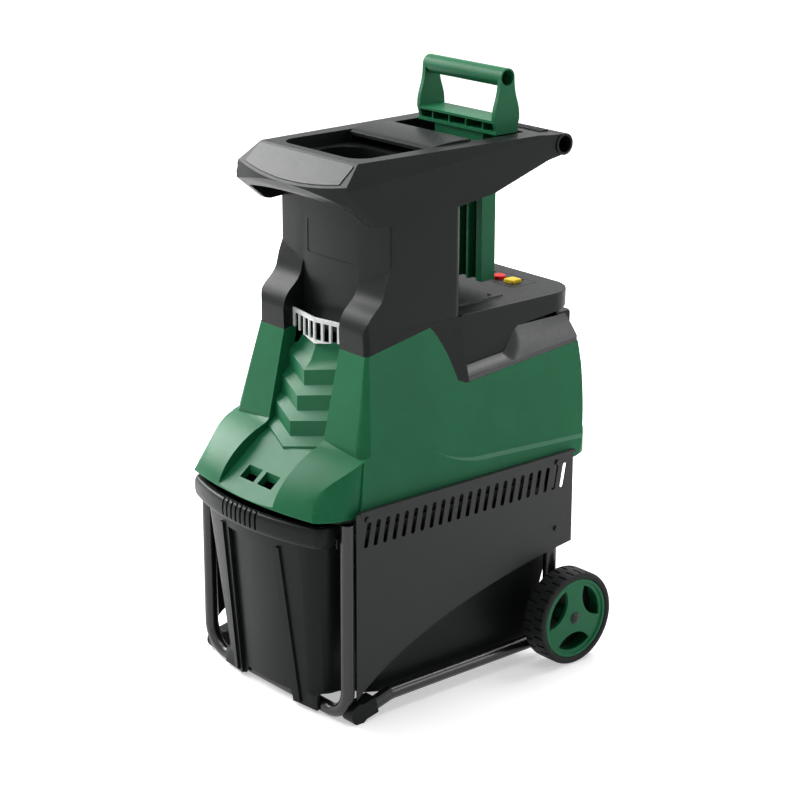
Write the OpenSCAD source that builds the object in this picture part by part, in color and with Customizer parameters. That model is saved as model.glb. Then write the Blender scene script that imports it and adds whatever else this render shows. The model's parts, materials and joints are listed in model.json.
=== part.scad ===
// Garden shredder on a tube frame with two wheels.
// Front faces -Y, +X is the right side seen from the front, +Z is up, floor at z = 0.

/* [Wheels and axle] */
// Tyre diameter
wheel_d = 158; // [140:1:170]
// Tyre width
wheel_w = 45; // [35:1:50]
// Gap between a wheel and the side panel
hub_gap = 3; // [2:0.5:8]
// Distance of the axle behind the middle of the machine
axle_y = 200; // [194:1:206]
// Axle diameter
axle_d = 10; // [8:0.5:12]
// Number of tread blocks round a tyre
tread_n = 30; // [20:1:36]

/* [Frame] */
// Tube diameter
tube_d = 22; // [18:1:24]
// Tube wall
tube_wall = 1.5; // [1:0.1:3]
// Gap between the collection box and a leg
side_gap = 17; // [14:1:20]
// Front leg position
front_leg_y = -230; // [-234:1:-226]
// Bend radius of the front loop
loop_bend = 45; // [35:1:60]
// Height of the side rails
rail_z = 28; // [24:1:32]

/* [Side panels] */
// Sheet thickness
sheet_t = 2; // [1:0.5:3]
// Front edge of the panels
panel_front = -222; // [-226:1:-214]
// Number of air slots in a panel
slot_n = 23; // [16:1:24]
// Slot width
slot_w = 8; // [5:0.5:10]
// Slot length
slot_l = 42; // [30:1:50]
// Slot pitch
slot_pitch = 18.8; // [16:0.2:19]
// Lean of the slots
slot_lean = 11; // [0:1:15]

/* [Collection box] */
// Outer width at the rim
box_top_w = 304; // [290:1:310]
// Outer width at the floor
box_low_w = 262; // [240:1:280]
// Gap between the rim of the box and the tray above it
box_head = 15; // [10:1:20]
// Underside of the box floor
box_floor = 32; // [28:1:50]
// Wall thickness
box_wall = 3; // [2:0.5:5]
// Radius of the bulged front in plan
box_front_r = 430; // [380:5:600]
// How far the box slides out
box_travel = 470; // [300:10:500]

/* [Lower housing] */
// Bottom edge
base_z = 338; // [336:1:342]
// Wall thickness
shell_t = 4; // [3:0.5:5]
// Width of the recess between the two front pillars
recess_w = 140; // [120:2:150]
// Number of steps in the front recess
step_n = 4; // [3:1:4]
// Height from one step to the next
step_pitch = 38; // [32:1:38]
// Height of a step's upright face
step_rise = 25; // [18:1:28]

/* [Chute and covers] */
// Width of the feed chute
chute_w = 268; // [260:1:270]
// Front face of the chute
chute_front = -116; // [-119:1:-114]
// Joint between the chute and the rear cover
chute_rear = 42; // [40:1:46]
// Height of the chute above the bottom edge of the housing
chute_h = 452; // [440:1:480]
// Height of the rear cover above the deck
cover_rise = 84; // [76:1:96]

/* [Hopper and plunger] */
// Height of the hopper rim above the chute
hopper_h = 77; // [74:1:84]
// Diameter of the carrying tube at the tail
tail_d = 35; // [30:1:38]
// Length of the carrying tube
tail_l = 279; // [277:1:284]
// Plunger position
plunger_y = 169; // [166:1:172]
// Width of the plunger blade
blade_w = 116; // [100:1:120]
// Depth of the plunger blade
blade_d = 30; // [26:1:34]
// Diameter of the plunger grip
grip_d = 30; // [26:1:34]
// Height of the plunger grip above the hopper rim
grip_rise = 89; // [80:1:100]
// Play of the plunger in its slot
plunger_play = 1; // [0.5:0.1:2]

/* [Cutting unit] */
// Height of the cutter axis above the bottom edge of the housing
cutter_rise = 107; // [104:1:110]
// Diameter over the cutter teeth
cutter_d = 84; // [76:1:88]
// Length of the cutter
cutter_l = 118; // [100:1:120]
// Number of helical cutter teeth
cutter_teeth = 10; // [8:1:12]
// Cutter shaft diameter
shaft_d = 24; // [20:1:26]
// Gap between cutter and counter plate at rest
plate_gap = 4.6; // [4.2:0.1:6]
// Radial clearance of running shafts
run_gap = 0.05; // [0.02:0.01:0.1]

/* [Drive] */
// Teeth on the motor pinion and the second pinion
pinion_n = 14; // [14:1:15]
// Teeth on the first and second gear
gear_n = 56; // [54:1:57]
// Teeth on the third pinion
pinion3_n = 15; // [15:1:16]
// Teeth on the output gear
output_n = 60; // [58:1:61]
// Module of the first stage
module_1 = 1.5; // [1.4:0.05:1.55]
// Module of the second stage
module_2 = 1.75; // [1.7:0.05:1.8]
// Module of the third stage
module_3 = 2; // [1.9:0.05:2.05]
// Tooth play
tooth_play = 0.25; // [0.15:0.05:0.4]
// Motor diameter
motor_d = 116; // [100:1:120]

/* [Hidden] */
$fn = 64;
eps = 0.01;
fit = 0.3;

wheel_r = wheel_d / 2;
tube_r = tube_d / 2;
leg_x = box_top_w / 2 + side_gap + tube_r;
leg_top = base_z - 5;
tray_t = 8;
tray_top = leg_top + tray_t;
panel_x = leg_x + tube_r;
lip_w = 6;
wheel_x = panel_x + sheet_t + lip_w + hub_gap + wheel_w;
half_base = panel_x - 6;
base_w = 2 * half_base;
panel_top = base_z + 11;
panel_rear = axle_y + 36;
box_top = leg_top - box_head;
cover_rear = axle_y + 103;
chute_top = base_z + chute_h;
rim_z = chute_top + hopper_h;
grip_z = rim_z + grip_rise;
cutter_z = base_z + cutter_rise;
half_chute = chute_w / 2;
half_recess = recess_w / 2;

black = [0.16, 0.18, 0.17];
green = [0.18, 0.40, 0.28];
steel = [0.62, 0.63, 0.64];
dark = [0.09, 0.10, 0.10];
alloy = [0.70, 0.70, 0.71];
copper = [0.72, 0.42, 0.22];

// Points on a cubic curve with end points a, d and handles b, c.
function curve(a, b, c, d, n) = [
    for (i = [0:n])
        let (t = i / n, s = 1 - t)
            s * s * s * a + 3 * s * s * t * b + 3 * s * t * t * c + t * t * t * d
];

// Rectangle between two corners with round corners of radius r.
module round_rect(low, high, r) {
    size = high - low;
    translate(low + [r, 0]) square([size[0] - 2 * r, size[1]]);
    translate(low + [0, r]) square([size[0], size[1] - 2 * r]);
    for (x = [low[0] + r, high[0] - r], y = [low[1] + r, high[1] - r])
        translate([x, y]) circle(r);
}

// Solid of a (y, z) outline between two x positions.
module across(x0, x1) {
    translate([x0, 0, 0]) rotate([90, 0, 90]) linear_extrude(x1 - x0) children();
}

// Solid of an (x, z) outline between two y positions.
module along(y0, y1) {
    translate([0, y1, 0]) rotate([90, 0, 0]) linear_extrude(y1 - y0) children();
}

// Solid of an (x, y) outline between two heights.
module upright(z0, z1) {
    translate([0, 0, z0]) linear_extrude(z1 - z0) children();
}

module rod_x(x0, x1, y, z, r) {
    translate([x0, y, z]) rotate([0, 90, 0]) cylinder(h = x1 - x0, r = r);
}

module rod_y(y0, y1, x, z, r) {
    translate([x, y0, z]) rotate([-90, 0, 0]) cylinder(h = y1 - y0, r = r);
}

module both_sides() {
    children();
    mirror([1, 0, 0]) children();
}

// Cutting unit positions

chamber_wall = 8;
chamber_in = 60;
cutter_gap = 1;
chamber_front = chute_front + 12;
chamber_rear = chamber_front + cutter_l + 2 * (chamber_wall + cutter_gap);
chamber_top = base_z + 182;
cutter_y = (chamber_front + chamber_rear) / 2;
cutter_r = cutter_d / 2;
bush_r = shaft_d / 2 + 6;
screw_r = 5;

// Frame

module ring_2d(r, wall) {
    difference() {
        circle(r);
        circle(r - wall);
    }
}

// Front loop: two legs joined by a floor tube.
module front_loop_tube(r, wall) {
    both_sides() {
        translate([leg_x, front_leg_y, tube_r + loop_bend])
            linear_extrude(leg_top - tube_r - loop_bend) ring_2d(r, wall);
        translate([leg_x - loop_bend, front_leg_y, tube_r + loop_bend])
            rotate([90, 0, 0]) rotate([0, 0, -90])
                rotate_extrude(angle = 90) translate([loop_bend, 0]) ring_2d(r, wall);
        translate([0, front_leg_y, tube_r]) rotate([0, 90, 0])
            linear_extrude(leg_x - loop_bend) ring_2d(r, wall);
    }
}

module front_loop() {
    color(dark) front_loop_tube(tube_r, tube_wall);
}

rail_bend = 34;
dip_angle = 15;
dip_run = 60;
rail_start = front_leg_y + 26;
rail_dip = dip_run * sin(dip_angle);
rail_level = rail_start + dip_run * cos(dip_angle);

// Side rail: rises out of the foot, runs back and turns up into the rear leg.
module rail_rod(r) {
    translate([leg_x, rail_level, rail_z]) rotate([90 + dip_angle, 0, 0]) cylinder(h = dip_run, r = r);
    translate([leg_x, rail_level, rail_z]) sphere(r + 0.6);
    translate([leg_x, rail_level, rail_z]) rotate([-90, 0, 0])
        cylinder(h = axle_y - rail_bend - rail_level, r = r);
    translate([leg_x, axle_y - rail_bend, rail_z + rail_bend]) rotate([90, 0, 90])
        rotate([0, 0, -90]) rotate_extrude(angle = 90) translate([rail_bend, 0]) circle(r);
    translate([leg_x, axle_y, rail_z + rail_bend]) cylinder(h = leg_top - rail_z - rail_bend, r = r);
}

module side_rail() {
    color(dark) difference() {
        rail_rod(tube_r);
        translate([leg_x, axle_y, rail_z + rail_bend + 4]) cylinder(h = leg_top, r = tube_r - tube_wall);
        rod_x(leg_x - tube_d, leg_x + tube_d, axle_y, wheel_r, axle_d / 2);
    }
}

foot_r = 17;
foot_w = tube_d + 3;

// Moulded foot over the corner where the loop and the rail meet.
module foot() {
    color(black) difference() {
        across(leg_x - foot_w / 2, leg_x + foot_w / 2) {
            intersection() {
                translate([front_leg_y + 15, foot_r - 1.5]) circle(foot_r);
                translate([front_leg_y - 40, 0]) square(90);
            }
            polygon([
                [front_leg_y + 17, 2],
                [rail_start + 26, rail_z - rail_dip - 3],
                [rail_start + 20, rail_z + 8],
                [front_leg_y + 13, 2 * foot_r - 4]
            ]);
        }
        loop_core();
        rail_core();
    }
}

module loop_core() {
    translate([leg_x, front_leg_y, tube_r + loop_bend]) cylinder(h = leg_top, r = tube_r);
    translate([leg_x - loop_bend, front_leg_y, tube_r + loop_bend])
        rotate([90, 0, 0]) rotate([0, 0, -90])
            rotate_extrude(angle = 90) translate([loop_bend, 0]) circle(tube_r);
}

module rail_core() {
    translate([leg_x, rail_start, rail_z - rail_dip]) rotate([dip_angle - 90, 0, 0])
        cylinder(h = dip_run, r = tube_r);
}

axle_end = wheel_x - 9;

module axle() {
    color(steel) rod_x(-axle_end, axle_end, axle_y, wheel_r, axle_d / 2);
}

// Side panels

lip_t = 4;
slot_z = panel_top - 37;
slot_y0 = (panel_front + panel_rear - (slot_n - 1) * slot_pitch) / 2;
panel_low_front = rail_z + tube_r + 3;
panel_low_rear = panel_low_front + 150;

module panel_outline() {
    low = curve([panel_front, panel_low_front], [panel_front + 90, panel_low_front + 78],
        [panel_rear - 190, panel_low_rear - 22], [panel_rear, panel_low_rear], 14);
    polygon(concat(low, [[panel_rear, panel_top], [panel_front, panel_top]]));
}

module slot_2d() {
    reach = slot_l / 2 - slot_w / 2;
    rotate(-slot_lean) {
        square([slot_w, 2 * reach], center = true);
        for (s = [-1, 1]) translate([0, s * reach]) circle(slot_w / 2);
    }
}

screw_spots = [
    [front_leg_y + 30, panel_top - 12], [axle_y, panel_top - 12], [axle_y, panel_low_rear + 30]
];

module side_panel() {
    color(black) {
        across(panel_x, panel_x + sheet_t) difference() {
            panel_outline();
            for (i = [0:slot_n - 1])
                translate([slot_y0 + i * slot_pitch, slot_z]) slot_2d();
        }
        across(panel_x, panel_x + sheet_t + lip_w)
            translate([panel_front + 4, panel_top]) square([panel_rear - panel_front - 4, lip_t]);
    }
}

module panel_screws() {
    color(steel) both_sides() for (p = screw_spots)
        rod_x(panel_x + sheet_t, panel_x + sheet_t + 3, p[0], p[1], 4.5);
}

// Collection box

box_lean = 4;
box_front = -289;
box_rear_top = axle_y + 36;
box_rear_mid = [axle_y + 8, 150];
box_rear_low = axle_y - 30;
rim_w = 13;
rim_h = 10;
runner_top = box_top - rim_h - fit;

// Tapered tub; inset moves every wall inwards.
module tub(inset, z0) {
    half_top = box_top_w / 2 - inset;
    half_low = box_low_w / 2 - inset;
    intersection() {
        along(-400, 400) polygon([
            [-half_low, box_floor], [half_low, box_floor],
            [half_top, box_top], [-half_top, box_top]
        ]);
        across(-200, 200) polygon([
            [-400, z0], [box_rear_low - inset, z0],
            [box_rear_low - inset, box_floor], [box_rear_mid[0] - inset, box_rear_mid[1]],
            [box_rear_top - inset, box_top], [-400, box_top]
        ]);
        translate([0, box_front + inset, box_top]) rotate([box_lean, 0, 0])
            translate([0, box_front_r - inset, -box_top - 60])
                cylinder(h = box_top + 120, r = box_front_r - inset, $fn = 200);
    }
}

skirt_z = 5;
skirt_rear = front_leg_y - tube_r - 3;
panel_half = 64;

// Front skirt that hangs in front of the floor tube.
module box_skirt(inset) {
    intersection() {
        along(-400, skirt_rear) polygon([
            [-box_low_w / 2, box_floor + 4], [-box_low_w / 2 + 26, skirt_z], [-panel_half, skirt_z],
            [-panel_half + 8, box_floor - 12], [panel_half - 8, box_floor - 12],
            [panel_half, skirt_z], [box_low_w / 2 - 26, skirt_z], [box_low_w / 2, box_floor + 4]
        ]);
        translate([0, box_front, box_top]) rotate([box_lean, 0, 0])
            translate([0, box_front_r, -box_top - 60])
                cylinder(h = box_top + 120, r = box_front_r, $fn = 200);
    }
}

module box_front_recess() {
    depth = 7;
    intersection() {
        along(-400, -100) polygon([
            [-panel_half - 4, 0], [panel_half + 4, 0], [panel_half - 8, 272], [-panel_half + 8, 272]
        ]);
        difference() {
            translate([-200, -400, 0]) cube([400, 300, box_top]);
            translate([0, box_front + depth, box_top]) rotate([box_lean, 0, 0])
                translate([0, box_front_r - depth, -box_top - 60])
                    cylinder(h = box_top + 120, r = box_front_r - depth, $fn = 200);
        }
    }
}

module box_ribs() {
    both_sides() intersection() {
        along(-400, -100) polygon([
            [panel_half + 12, skirt_z + 4], [panel_half + 22, skirt_z + 4],
            [panel_half + 12, 276], [panel_half + 4, 276]
        ]);
        difference() {
            translate([0, box_front - 4, box_top]) rotate([box_lean, 0, 0])
                translate([0, box_front_r, -box_top - 60])
                    cylinder(h = box_top + 120, r = box_front_r, $fn = 200);
            translate([0, box_front + 1, box_top]) rotate([box_lean, 0, 0])
                translate([0, box_front_r, -box_top - 60])
                    cylinder(h = box_top + 120, r = box_front_r, $fn = 200);
        }
    }
}

module collection_box() {
    color(black) {
        difference() {
            union() {
                tub(0, box_floor);
                box_skirt(0);
            }
            box_front_recess();
            difference() {
                tub(box_wall, box_floor + box_wall);
                across(-panel_half - 8, panel_half + 8)
                    polygon([[-400, 0], [-400, 290], [box_front + 12, 290], [skirt_rear + 12, 0]]);
            }
        }
        box_ribs();
        for (s = [-1, 1])
            translate([s * box_top_w / 2 - (s > 0 ? 2 : rim_w - 2), front_leg_y + 24, box_top - rim_h])
                cube([rim_w, box_rear_top - front_leg_y - 40, rim_h]);
    }
}

grip_h = 34;
grip_depth = 20;
grip_r = box_front_r + 4;
groove_n = 8;
groove_pitch = 12;

// Curved grip bar across the front of the box, with finger grooves.
module box_grip() {
    z_mid = box_top - 7;
    front = -cover_rear;
    color(black) intersection() {
        difference() {
            translate([0, front + grip_r, 0]) rotate([0, 0, -90 - 24]) rotate_extrude(angle = 48, $fn = 200)
                translate([grip_r - grip_depth, 0]) {
                    translate([0, z_mid - grip_h / 2]) square([grip_depth - 12, grip_h]);
                    intersection() {
                        translate([grip_depth - 24, z_mid]) circle(24);
                        translate([grip_depth - 14, z_mid - grip_h / 2]) square([20, grip_h]);
                    }
                }
            for (i = [0:groove_n - 1])
                translate([(i - (groove_n - 1) / 2) * groove_pitch, front, z_mid + 3])
                    cube([4, 9, grip_h], center = true);
            tub(-fit, box_floor);
        }
        translate([-leg_x + tube_r + 4, -400, 0]) cube([2 * (leg_x - tube_r - 4), 400, 400]);
    }
}

runner_w = 15;

// Angle runner that carries the rim of the box.
module box_runner() {
    color(steel) across(leg_x - tube_r - runner_w, leg_x - tube_r)
        translate([front_leg_y - tube_r, runner_top - 4]) square([axle_y - front_leg_y + tube_d, 4]);
    color(steel) across(leg_x - tube_r - 2, leg_x - tube_r)
        translate([front_leg_y - tube_r, runner_top - 16]) square([axle_y - front_leg_y + tube_d, 14]);
}

// Wheels

rim_r = wheel_r * 0.85;
hub_r = 17;
tyre_in = wheel_x - wheel_w;

// Tyre moulded onto a black wheel body with a closed inner web.
module tyre() {
    color(dark) translate([tyre_in, axle_y, wheel_r]) rotate([0, 90, 0]) difference() {
        rotate_extrude($fn = 128) {
            difference() {
                round_rect([rim_r, 0], [wheel_r, wheel_w], 5);
                translate([rim_r - 1, wheel_w / 2]) circle(3);
            }
            translate([hub_r + fit, 6]) square([rim_r - hub_r + 2, web_t]);
        }
        for (i = [0:tread_n - 1], side = [0, 1])
            rotate([0, 0, (i + side / 2) * 360 / tread_n])
                translate([wheel_r - 3, -2, side * (wheel_w / 2 + 1) + 2])
                    cube([5, 4, wheel_w / 2 - 5]);
    }
}

web_t = 5;
window_out = rim_r * 0.83;
window_c = rim_r * 1.016;
window_r = rim_r * 0.626;

// One of the three openings: a curved triangle between hub and rim.
module rim_window() {
    intersection() {
        circle(window_out);
        translate([window_c, 0]) circle(window_r);
    }
}

// Wheel cover with three openings, on a hub that turns on the axle.
module rim() {
    color(green) translate([tyre_in, axle_y, wheel_r]) rotate([0, 90, 0]) difference() {
        union() {
            rotate_extrude($fn = 128) {
                polygon([
                    [rim_r - 5, 6 + web_t + fit], [rim_r, 6 + web_t + fit], [rim_r, wheel_w - 2],
                    [rim_r - 5, wheel_w - 2]
                ]);
                polygon([
                    [axle_d / 2 + 3, wheel_w - 12], [rim_r - 2, wheel_w - 10],
                    [rim_r - 2, wheel_w - 5], [hub_r, wheel_w - 4], [axle_d / 2 + 3, wheel_w - 4]
                ]);
            }
            translate([0, 0, -hub_proud]) cylinder(h = wheel_w - 4 + hub_proud, r = hub_r);
        }
        translate([0, 0, -hub_proud - 1]) cylinder(h = wheel_w + hub_proud + 2, r = axle_d / 2 + run_gap);
        translate([0, 0, wheel_w - 9]) cylinder(h = 10, r = cap_r - 2);
        for (a = [0, 120, 240]) rotate([0, 0, a])
            translate([0, 0, wheel_w - 14]) linear_extrude(14) rim_window();
    }
}

hub_proud = tyre_in - panel_x - sheet_t - lip_w - 0.5;
cap_r = 11;

module hub_cap() {
    color(dark) translate([wheel_x - 8.5, axle_y, wheel_r]) rotate([0, 90, 0]) rotate_extrude()
        difference() {
            union() {
                square([cap_r - 2, 6]);
                intersection() {
                    translate([0, -7]) circle(16);
                    translate([0, 5]) square([cap_r, 10]);
                }
            }
            square([axle_d / 2 + 0.5, 1]);
        }
}

// Lower housing

nose_front = -292;
pillar_foot = [-205, base_z + 82];
pillar_top = [-154, base_z + 232];
seam_top = [-26, base_z + 256];
seam_tip = [chute_rear - 22, base_z + 165];
deck_front_z = base_z + 158;
deck_rear_z = base_z + 179;
rear_top = [axle_y + 86, deck_rear_z];
rear_low = [axle_y + 90, base_z + 32];
cover_top = deck_rear_z + cover_rise;

flare = (half_base - half_chute - 2) / (pillar_top[1] - base_z);
flare_low = half_base + 20 * flare;

// Front outline of the housings: wide at the bottom, upright above the pillars.
module body_front_view(inset) {
    polygon([
        [-flare_low + inset, base_z - 20], [flare_low - inset, base_z - 20],
        [half_chute + 2 - inset, pillar_top[1]], [half_chute - inset, pillar_top[1] + 40],
        [half_chute - inset, rim_z + 40], [-half_chute + inset, rim_z + 40],
        [-half_chute + inset, pillar_top[1] + 40], [-half_chute - 2 + inset, pillar_top[1]]
    ]);
}

module body_plan(inset) {
    round_rect([-half_base + inset - 2, -300], [half_base - inset + 2, rear_low[0] - inset], 48);
}

function nose_line() = concat(
    curve([nose_front, base_z + 2], [nose_front + 8, base_z + 32], [-250, 404], pillar_foot, 10),
    curve(pillar_foot + [4, 1.3], pillar_foot + [17, 6], pillar_foot + [21, 18], pillar_foot + [26, 42], 6)
);

// Height of the joint between the housings, between the pillars and the seam's top.
function seam_at(y) = pillar_top[1]
    + (y - pillar_top[0]) * (seam_top[1] - pillar_top[1]) / (seam_top[0] - pillar_top[0]);

function seam_line() = curve(seam_top, seam_top + [22, -20], seam_tip + [-12, 40], seam_tip, 8);

nose_plan_r = 714;
nose_corner = [half_base - 72.5, nose_front + 81, base_z];
pillar_base = pillar_foot + [19, 12];

module main_side_view() {
    polygon(concat(
        [[pillar_base[0], base_z - 10], pillar_base, pillar_foot + [26, 42], pillar_top], seam_line(),
        [[chute_rear - 6, deck_front_z], rear_top, rear_low, [rear_low[0] - 8, base_z - 10]]
    ));
}

// Rounded nose: its side outline swept round a wide arc.
module nose_form() {
    outline = concat([[nose_front, base_z - 10]], nose_line(), [[-120, pillar_foot[1] + 42], [-120, base_z - 10]]);
    difference() {
        translate([0, nose_front + nose_plan_r, 0]) rotate([0, 0, -115]) rotate_extrude(angle = 50, $fn = 200)
            polygon([for (p = outline) [nose_front + nose_plan_r - p[0], p[1]]]);
        both_sides() translate(nose_corner) rotate([-15, 18.2, 0]) difference() {
            translate([0, -160, -40]) cube([160, 160, 160]);
            translate([0, 0, -40]) cylinder(h = 160, r1 = 95.5, r2 = 13.5);
        }
    }
}

// Corner cut along the outer edge of a pillar, sharper towards the top.
module pillar_corner() {
    low = [half_base - 46.4, -157.5, pillar_foot[1] + 5];
    top = [half_chute - 11, pillar_top[0] + 13.5, pillar_top[1]];
    lean = top - low;
    translate(low) rotate([-atan2(lean[1], lean[2]), atan2(lean[0], lean[2]), 0]) difference() {
        translate([0, -80, -90]) cube([80, 80, 260]);
        translate([0, 0, -90]) cylinder(h = 260, r1 = 39.3, r2 = 13);
    }
}

module body_side_cavity() {
    polygon([
        [nose_front + 16, base_z - 30], [nose_front + 26, base_z + 6], [-210, 388], [-172, 395],
        [-130, 560], [-130, 620], [rear_top[0] - shell_t, 620], [rear_top[0] - shell_t, deck_rear_z],
        [rear_low[0] - shell_t - 1, base_z + 32], [rear_low[0] - shell_t - 7, base_z - 30]
    ]);
}

module body_form() {
    intersection() {
        union() {
            difference() {
                across(-300, 300) main_side_view();
                both_sides() pillar_corner();
            }
            nose_form();
        }
        along(-400, 400) body_front_view(0);
        upright(base_z - 40, 640) body_plan(0);
    }
}

// Space inside the lower housing.
module body_cavity() {
    intersection() {
        across(-300, 300) body_side_cavity();
        along(-400, 400) body_front_view(shell_t);
        upright(base_z - 40, 640) intersection() {
            body_plan(shell_t);
            union() {
                translate([-100, -300]) square([200, 400]);
                translate([-126, -184]) square([252, 400]);
                translate([-300, -140]) square([600, 500]);
            }
        }
    }
}

band_proud = 5;
band_start = -92;
band_tilt = 40;
band_yaw = 2;

// Raised band along the lower side: its top edge slopes outwards and it grows out of the side.
module side_band() {
    edge = concat(
        curve([band_start, base_z + 122], [-66, base_z + 72], [-34, base_z + 52], [30, base_z + 44], 10),
        [[rear_low[0] + 10, base_z + 33]]
    );
    both_sides() intersection() {
        translate([half_base - 11, 0, base_z]) rotate([0, band_tilt, 0]) across(-150, 150)
            polygon([for (p = concat([[band_start - 40, base_z - 160]], edge, [[rear_low[0] + 10, base_z - 160]]))
                [p[0], (p[1] - base_z) * cos(band_tilt)]]);
        along(-400, 400) body_front_view(-band_proud);
        translate([0, band_start, 0]) rotate([0, 0, -band_yaw]) along(0, 500) body_front_view(0);
        upright(base_z - 10, pillar_top[1])
            round_rect([-half_base - band_proud, -300], [half_base + band_proud, rear_low[0]], 50);
        translate([20, -400, 0]) cube([400, 800, 900]);
    }
}

module front_recess() {
    across(-half_recess, half_recess) polygon([
        [-130, 660], [-130, 552], [-180, 418], [-207, 405], [nose_front, base_z + 1],
        [nose_front - 25, base_z - 19], [nose_front - 40, base_z - 19], [nose_front - 40, 660]
    ]);
}

step_y = -169;
step_z = base_z + 194;
step_run = 14.4;
step_yaw = atan(0.35);
step_roll = atan(0.175);

// Stepped outline of the recess, seen from the side.
function stairs() = concat(
    [[-116, step_z + 60], [step_y + step_run * 1.6, step_z + 34], [step_y + step_run, step_z + 13]],
    [for (i = [0:step_n - 1], k = [0, 1])
        [step_y - i * step_run, step_z - i * step_pitch - k * step_rise]],
    [[step_y - (step_n - 1) * step_run + 6, step_z - (step_n - 1) * step_pitch - step_rise - 30],
     [-116, step_z - (step_n - 1) * step_pitch - step_rise - 30]]
);

module chevrons() {
    both_sides() intersection() {
        rotate([0, 0, step_yaw]) rotate([0, -step_roll, 0]) across(-60, 160)
            polygon([for (p = stairs()) [p[0] * cos(step_yaw), p[1] * cos(step_roll)]]);
        along(-320, -124) polygon([
            [0, base_z + 47], [half_recess + 1, base_z + 47], [half_recess + 1, grille_z + 11.5],
            [0, grille_z - 0.7]
        ]);
    }
}

// Two openings in the nose that show how full the box is.
module nose_windows() {
    both_sides() translate([5, -268, base_z + 4]) cube([35, 20, 60]);
}

module lower_housing() {
    color(green) difference() {
        union() {
            difference() {
                body_form();
                front_recess();
            }
            chevrons();
            side_band();
        }
        translate([-300, -400, base_z - 60]) cube([600, 800, 60]);
        body_cavity();
        nose_windows();
        rod_x(-half_base - 10, -half_base + 60, cutter_y, cutter_z, screw_r + 0.6);
    }
}

// Floor of the housing; the legs end under it.
module base_tray() {
    color(black) difference() {
        union() {
            upright(leg_top, base_z - fit)
                round_rect([-half_base + 1, nose_front + 40], [half_base - 1, rear_low[0] - 7], 40);
            intersection() {
                translate([-100, nose_front + 40, leg_top]) cube([200, 500, tray_t]);
                upright(leg_top, tray_top) body_plan(shell_t + 8);
            }
        }
        translate([-chamber_in, chamber_front + chamber_wall, leg_top - 1])
            cube([2 * chamber_in, chamber_rear - chamber_front - 2 * chamber_wall, tray_t + 2]);
    }
}

// Chute

shoulder_y = -155;

module chute_side_view() {
    polygon(concat(
        [[-200, chute_top], [-200, pillar_top[1] - 8], pillar_top], seam_line(),
        [[chute_rear - 6, deck_front_z], [chute_rear, deck_front_z + 1], [chute_rear, chute_top]]
    ));
}

// Shoulders that sweep forward over the two pillars.
module shoulder_view() {
    z = pillar_top[1] + 32;
    polygon(concat(
        [[chute_front + 30, z + 128]],
        curve([chute_front + 26, z + 128], [chute_front + 14, z + 104], [chute_front + 5, z + 88],
            [chute_front, z + 68], 5),
        curve([chute_front - 1, z + 64], [chute_front - 6, z + 34], [shoulder_y + 3, z + 38],
            [shoulder_y, z], 10),
        [pillar_top, [chute_front + 30, seam_at(chute_front + 30)]]
    ));
}

chute_bulge_r = 900;

module chute_plan(inset) {
    intersection() {
        round_rect([-half_chute + inset, chute_front + inset], [half_chute - inset, chute_rear - inset], 15);
        translate([0, chute_front + chute_bulge_r + inset]) circle(chute_bulge_r, $fn = 360);
    }
}

module chute_housing() {
    color(black) difference() {
        union() {
            intersection() {
                across(-300, 300) chute_side_view();
                along(-400, 400) body_front_view(0);
                union() {
                    upright(560, chute_top + 1) chute_plan(0);
                    upright(480, 600) translate([-half_base, chute_front + 20])
                        square([base_w, chute_rear - chute_front - 20]);
                }
            }
            both_sides() intersection() {
                across(half_recess, 200) shoulder_view();
                along(-400, 400) body_front_view(0);
                upright(540, 740) round_rect([-half_chute - 2, shoulder_y - 1], [half_chute + 2, 60], 15);
            }
        }
        upright(480, chute_top + 2) chute_plan(shell_t);
        intersection() {
            upright(480, 600) translate([-half_base, chute_front + 26])
                square([base_w, chute_rear - chute_front - 26 - shell_t]);
            along(-400, 400) body_front_view(shell_t);
        }
        label_recess();
        drive_space();
    }
}

// Room for the gearbox under the rear cover.
module drive_space() {
    translate([-half_chute + 5, chute_rear - 12, deck_front_z - 40])
        cube([chute_w - 10, case_rear + case_wall - chute_rear + 16, case_high[1] + 6 - deck_front_z + 40]);
}

// Plain shallow field on the front of the chute.
module label_recess() {
    intersection() {
        along(chute_front - 12, chute_front + 12) round_rect([-58, chute_top - 96], [58, chute_top - 42], 3);
        difference() {
            translate([-80, chute_front - 12, chute_top - 110]) cube([160, 40, 80]);
            translate([0, chute_front + chute_bulge_r, chute_top - 120])
                cylinder(h = 100, r = chute_bulge_r - 0.8, $fn = 360);
        }
    }
}

grille_t = 3;
grille_z = base_z + 224;
grille_bars = 9;

// V-shaped air grille over the steps.
module vent_grille() {
    side = [half_recess - fit, chute_front - 20];
    apex = [0, chute_front - 33];
    color("gainsboro") intersection() {
        difference() {
            upright(grille_z - 6, grille_z + 42) polygon([
                side, apex, [-side[0], side[1]], [-side[0], side[1] + grille_t], apex + [0, grille_t],
                [side[0], side[1] + grille_t]
            ]);
            for (i = [0:grille_bars - 2])
                translate([(i - (grille_bars - 2) / 2) * 16.4, 0, 0])
                    along(-200, -60) round_rect([-6.2, grille_z + 6], [6.2, grille_z + 35], 1);
        }
        along(-200, -60) polygon([
            [0, grille_z], [side[0], grille_z + 12], [side[0], grille_z + 42],
            [-side[0], grille_z + 42], [-side[0], grille_z + 12]
        ]);
    }
}

// Rear cover and deck

cover_half = half_chute - 2;
scoop_y = axle_y - 50;
scoop_z = cover_top - 39;
deck_pitch = atan2(deck_rear_z - deck_front_z, rear_top[0] - chute_rear + 6);

// Height of the joint between the deck and the lower housing.
function deck_at(y) = deck_front_z + (y - chute_rear + 6) * tan(deck_pitch);

cover_gap = 20;
cover_low = deck_at(chute_rear) + cover_gap;

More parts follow.
